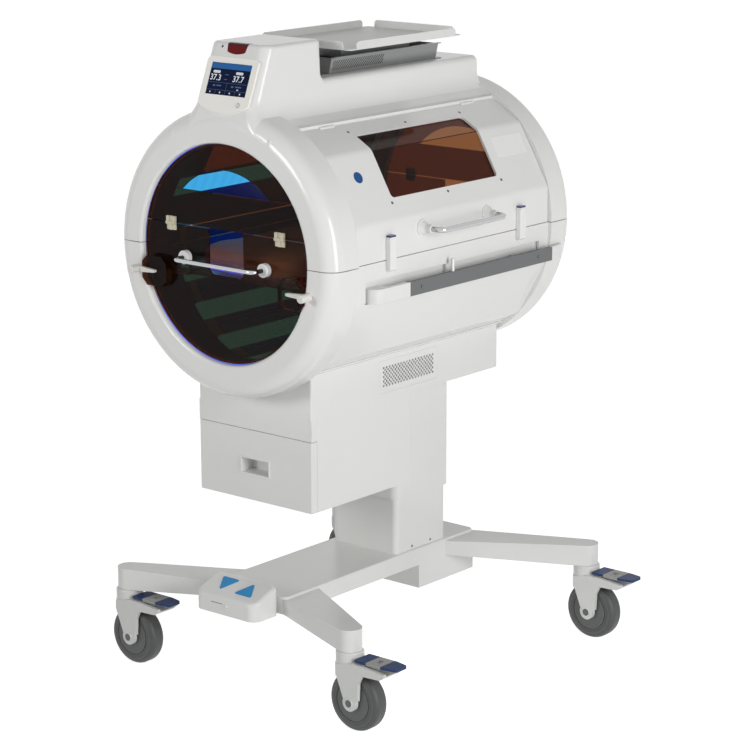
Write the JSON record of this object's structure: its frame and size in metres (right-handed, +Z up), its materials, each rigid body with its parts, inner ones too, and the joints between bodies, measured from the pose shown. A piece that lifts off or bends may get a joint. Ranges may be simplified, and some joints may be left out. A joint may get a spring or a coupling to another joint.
{
  "type": "infant phototherapy unit",
  "caption": "Infant phototherapy unit: a lamp-lined cylindrical cabin with hinged amber doors, a display turret and side rails, on a lifting column with a drawer and a castered base",
  "frame": {"origin": "on the floor, below the middle of the unit's outline with all four casters trailing to the right", "axes": "+X to the unit's right, +Y to its rear along the cabin's axis, +Z up; the front with the display faces -Y"},
  "size_m": [0.8734, 0.847, 1.341],
  "materials": {
    "shell_white": "satin",
    "frame_white": "satin powder coat",
    "grey_cover": "matt",
    "amber_clear": "tinted acrylic",
    "clear_plastic": "clear",
    "lamp_blue": "glowing lens",
    "foam_cover": "soft wipe-clean cover",
    "rail_steel": "satin",
    "chrome_bar": "polished",
    "steel_plain": "plain",
    "sheet_aluminium": "brushed",
    "display_glass": "gloss screen",
    "bezel_grey": "satin",
    "alarm_red": "gloss lens",
    "wheel_grey": "matt",
    "brake_blue": "satin",
    "key_blue": "satin",
    "black_plastic": "matt",
    "door_fittings": "satin"
  },
  "bodies": {
    "base": {"base_frame": "frame_white", "under_box": "frame_white", "lower_column": "frame_white", "lift_actuator": "steel_plain", "pedal_housing": "shell_white"},
    "carriage": {"column_sleeve": "frame_white", "drawer_housing": "frame_white", "plenum": "frame_white", "vent_grilles": "frame_white", "lower_shell": "shell_white", "top_cover": "shell_white", "lamp_panels": "lamp_blue", "bed_pan": "clear_plastic", "mattress": "foam_cover", "display_bezel": "bezel_grey", "display_screen": "display_glass", "alarm_lamp": "alarm_red", "top_tray": "sheet_aluminium", "tray_cradle": "sheet_aluminium", "end_windows": "amber_clear", "side_rails": "rail_steel", "rail_brackets": "shell_white"},
    "drawer": {"drawer_front": "frame_white", "drawer_box": "frame_white"},
    "front_door_body": {"front_door": "amber_clear", "front_door_hardware": "door_fittings"},
    "rear_door_body": {"rear_door": "amber_clear", "rear_door_hardware": "door_fittings"},
    "fan_body": {"fan": "black_plastic"},
    "knob_body": {"display_knob": "black_plastic"},
    "key_down_body": {"pedal_key_down": "key_blue"},
    "key_up_body": {"pedal_key_up": "key_blue"},
    "right_door_body": {"door_shell_right": "shell_white", "door_window_right": "amber_clear", "door_handle_right": "chrome_bar", "door_lamp_right": "lamp_blue"},
    "latch_right_front_body": {"latch_right_front": "shell_white"},
    "latch_right_rear_body": {"latch_right_rear": "shell_white"},
    "lever_front_right_body": {"lever_front_right": "shell_white"},
    "lever_rear_right_body": {"lever_rear_right": "shell_white"},
    "left_door_body": {"door_shell_left": "shell_white", "door_window_left": "amber_clear", "door_handle_left": "chrome_bar", "door_lamp_left": "lamp_blue"},
    "latch_left_front_body": {"latch_left_front": "shell_white"},
    "latch_left_rear_body": {"latch_left_rear": "shell_white"},
    "lever_front_left_body": {"lever_front_left": "shell_white"},
    "lever_rear_left_body": {"lever_rear_left": "shell_white"},
    "swivel_front_left": {"caster_fork_front_left": "shell_white"},
    "wheel_front_left": {"caster_wheel_front_left": "wheel_grey"},
    "brake_front_left": {"caster_brake_front_left": "brake_blue"},
    "swivel_front_right": {"caster_fork_front_right": "shell_white"},
    "wheel_front_right": {"caster_wheel_front_right": "wheel_grey"},
    "brake_front_right": {"caster_brake_front_right": "brake_blue"},
    "swivel_rear_left": {"caster_fork_rear_left": "shell_white"},
    "wheel_rear_left": {"caster_wheel_rear_left": "wheel_grey"},
    "brake_rear_left": {"caster_brake_rear_left": "brake_blue"},
    "swivel_rear_right": {"caster_fork_rear_right": "shell_white"},
    "wheel_rear_right": {"caster_wheel_rear_right": "wheel_grey"},
    "brake_rear_right": {"caster_brake_rear_right": "brake_blue"}
  },
  "joints": [
    {"name": "column_lift", "type": "slide", "parent": "base", "child": "carriage", "axis": [0, 0, 1], "range_m": [0, 0.2]},
    {"name": "drawer_slide", "type": "slide", "parent": "carriage", "child": "drawer", "axis": [0, -1, 0], "range_m": [0, 0.22]},
    {"name": "front_door_hinge", "type": "hinge", "parent": "carriage", "child": "front_door_body", "pos_m": [-0.04625, -0.3839, 0.9735], "axis": [-1, 0, 0], "range_deg": [0, 100]},
    {"name": "rear_door_hinge", "type": "hinge", "parent": "carriage", "child": "rear_door_body", "pos_m": [-0.04625, 0.3839, 0.9735], "axis": [1, 0, 0], "range_deg": [0, 100]},
    {"name": "right_door_hinge", "type": "hinge", "parent": "carriage", "child": "right_door_body", "pos_m": [0.08785, 0, 1.17438], "axis": [0, -1, 0], "range_deg": [0, 75]},
    {"name": "latch_right_front_turn", "type": "hinge", "parent": "carriage", "child": "latch_right_front_body", "pos_m": [0.24367, -0.214, 0.9095], "axis": [0, 1, 0], "range_deg": [0, 70]},
    {"name": "latch_right_rear_turn", "type": "hinge", "parent": "carriage", "child": "latch_right_rear_body", "pos_m": [0.24367, 0.211, 0.9095], "axis": [0, 1, 0], "range_deg": [0, 70]},
    {"name": "lever_front_right_turn", "type": "hinge", "parent": "carriage", "child": "lever_front_right_body", "pos_m": [0.18475, -0.407, 0.872], "axis": [0, 1, 0], "range_deg": [0, 90]},
    {"name": "lever_rear_right_turn", "type": "hinge", "parent": "carriage", "child": "lever_rear_right_body", "pos_m": [0.18475, 0.407, 0.872], "axis": [0, 1, 0], "range_deg": [0, 90]},
    {"name": "left_door_hinge", "type": "hinge", "parent": "carriage", "child": "left_door_body", "pos_m": [-0.18035, 0, 1.17438], "axis": [0, 1, 0], "range_deg": [0, 75]},
    {"name": "latch_left_front_turn", "type": "hinge", "parent": "carriage", "child": "latch_left_front_body", "pos_m": [-0.33617, -0.214, 0.9095], "axis": [0, -1, 0], "range_deg": [0, 70]},
    {"name": "latch_left_rear_turn", "type": "hinge", "parent": "carriage", "child": "latch_left_rear_body", "pos_m": [-0.33617, 0.211, 0.9095], "axis": [0, -1, 0], "range_deg": [0, 70]},
    {"name": "lever_front_left_turn", "type": "hinge", "parent": "carriage", "child": "lever_front_left_body", "pos_m": [-0.27725, -0.407, 0.872], "axis": [0, -1, 0], "range_deg": [0, 90]},
    {"name": "lever_rear_left_turn", "type": "hinge", "parent": "carriage", "child": "lever_rear_left_body", "pos_m": [-0.27725, 0.407, 0.872], "axis": [0, -1, 0], "range_deg": [0, 90]},
    {"name": "caster_swivel_front_left", "type": "hinge", "parent": "base", "child": "swivel_front_left", "pos_m": [-0.35525, -0.368, 0.15], "axis": [0, 0, 1], "continuous": true},
    {"name": "caster_roll_front_left", "type": "hinge", "parent": "swivel_front_left", "child": "wheel_front_left", "pos_m": [-0.33325, -0.368, 0.0625], "axis": [0, 1, 0], "continuous": true},
    {"name": "brake_tilt_front_left", "type": "hinge", "parent": "swivel_front_left", "child": "brake_front_left", "pos_m": [-0.31525, -0.368, 0.1405], "axis": [0, 1, 0], "range_deg": [0, 5]},
    {"name": "caster_swivel_front_right", "type": "hinge", "parent": "base", "child": "swivel_front_right", "pos_m": [0.26275, -0.368, 0.15], "axis": [0, 0, 1], "continuous": true},
    {"name": "caster_roll_front_right", "type": "hinge", "parent": "swivel_front_right", "child": "wheel_front_right", "pos_m": [0.28475, -0.368, 0.0625], "axis": [0, 1, 0], "continuous": true},
    {"name": "brake_tilt_front_right", "type": "hinge", "parent": "swivel_front_right", "child": "brake_front_right", "pos_m": [0.30275, -0.368, 0.1405], "axis": [0, 1, 0], "range_deg": [0, 5]},
    {"name": "caster_swivel_rear_left", "type": "hinge", "parent": "base", "child": "swivel_rear_left", "pos_m": [-0.39625, 0.384, 0.15], "axis": [0, 0, 1], "continuous": true},
    {"name": "caster_roll_rear_left", "type": "hinge", "parent": "swivel_rear_left", "child": "wheel_rear_left", "pos_m": [-0.37425, 0.384, 0.0625], "axis": [0, 1, 0], "continuous": true},
    {"name": "brake_tilt_rear_left", "type": "hinge", "parent": "swivel_rear_left", "child": "brake_rear_left", "pos_m": [-0.35625, 0.384, 0.1405], "axis": [0, 1, 0], "range_deg": [0, 5]},
    {"name": "caster_swivel_rear_right", "type": "hinge", "parent": "base", "child": "swivel_rear_right", "pos_m": [0.30375, 0.384, 0.15], "axis": [0, 0, 1], "continuous": true},
    {"name": "caster_roll_rear_right", "type": "hinge", "parent": "swivel_rear_right", "child": "wheel_rear_right", "pos_m": [0.32575, 0.384, 0.0625], "axis": [0, 1, 0], "continuous": true},
    {"name": "brake_tilt_rear_right", "type": "hinge", "parent": "swivel_rear_right", "child": "brake_rear_right", "pos_m": [0.34375, 0.384, 0.1405], "axis": [0, 1, 0], "range_deg": [0, 5]},
    {"name": "key_down_press", "type": "slide", "parent": "base", "child": "key_down_body", "axis": [0, 0.3408, -0.9401], "range_m": [0, 0.003], "stiffness_N_per_m": 800, "springref_m": -0.002},
    {"name": "key_up_press", "type": "slide", "parent": "base", "child": "key_up_body", "axis": [0, 0.3408, -0.9401], "range_m": [0, 0.003], "stiffness_N_per_m": 800, "springref_m": -0.002},
    {"name": "knob_press", "type": "slide", "parent": "carriage", "child": "knob_body", "axis": [0, 0.9289, -0.3703], "range_m": [0, 0.001], "stiffness_N_per_m": 600, "springref_m": -0.001},
    {"name": "fan_spin", "type": "hinge", "parent": "carriage", "child": "fan_body", "pos_m": [-0.04625, 0.188, 0.605], "axis": [0, 0, 1], "continuous": true}
  ]
}
